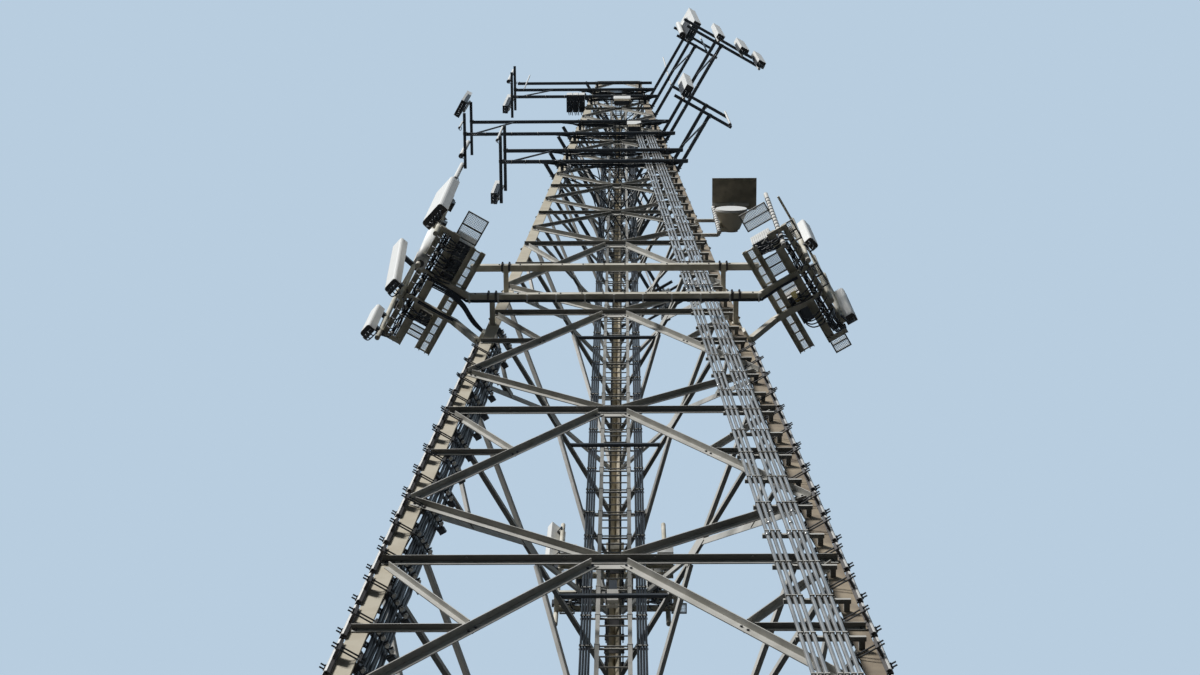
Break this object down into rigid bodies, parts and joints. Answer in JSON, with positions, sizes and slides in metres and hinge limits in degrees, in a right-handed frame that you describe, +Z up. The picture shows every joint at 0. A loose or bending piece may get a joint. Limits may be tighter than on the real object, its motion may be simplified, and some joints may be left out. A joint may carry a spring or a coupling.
{
  "type": "cell tower, half scale model",
  "caption": "Self-supporting three-legged lattice cell tower with angle bracing, inner ladder, clamped feed lines, antenna mounts on the legs and arms at the top.",
  "frame": {"origin": "centre of the underside of the rear leg's base plate, on the ground plane", "axes": "+Z up the tower, -Y out of the front face, +X to the right seen from the front"},
  "size_m": [3.5984, 3.4206, 33.0944],
  "materials": {
    "leg_steel": "weathered galvanized, chalky",
    "sleeve_steel": "dull galvanized",
    "antenna_shell": "matte, weathered",
    "mast_paint": "weathered off-white paint",
    "radio_shell": "satin",
    "cable_jacket": "matte",
    "conduit_jacket": "satin",
    "dark_steel": "matte, weathered",
    "brown_steel": "matte",
    "galvanized_steel": "dull galvanized"
  },
  "bodies": {
    "root": {"leg_rear": "leg_steel", "leg_left": "leg_steel", "leg_right": "leg_steel", "base_plates": "galvanized_steel", "front_face_lower": "galvanized_steel", "front_face_upper": "galvanized_steel", "left_face_lower": "galvanized_steel", "left_face_upper": "galvanized_steel", "right_face_lower": "galvanized_steel", "right_face_upper": "galvanized_steel", "plan_bracing": "dark_steel", "ladder": "galvanized_steel", "ladder_brackets": "galvanized_steel", "feed_lines_rear": "cable_jacket", "feed_lines_left": "cable_jacket", "feed_line_hangers": "galvanized_steel", "front_conduits": "conduit_jacket", "conduit_brackets": "galvanized_steel", "leg_sleeves_rear": "sleeve_steel", "leg_sleeves_left": "sleeve_steel", "leg_sleeves_right": "sleeve_steel", "cross_beams": "galvanized_steel", "mount_frame_left": "galvanized_steel", "mount_frame_right": "galvanized_steel", "mount_frame_rear": "galvanized_steel", "walkway_left": "galvanized_steel", "walkway_right": "galvanized_steel", "walkway_rear": "galvanized_steel", "antennas_left": "antenna_shell", "antennas_right": "antenna_shell", "antennas_rear": "antenna_shell", "radios_lower": "radio_shell", "grating_frames": "galvanized_steel", "dish_antenna": "antenna_shell", "ice_shield": "brown_steel", "dish_pipes": "mast_paint", "lower_arms": "dark_steel", "middle_arms": "dark_steel", "upper_arms": "dark_steel", "lower_antennas": "antenna_shell", "middle_antennas": "antenna_shell", "upper_antennas": "antenna_shell", "radios_upper": "radio_shell"}
  },
  "joints": []
}
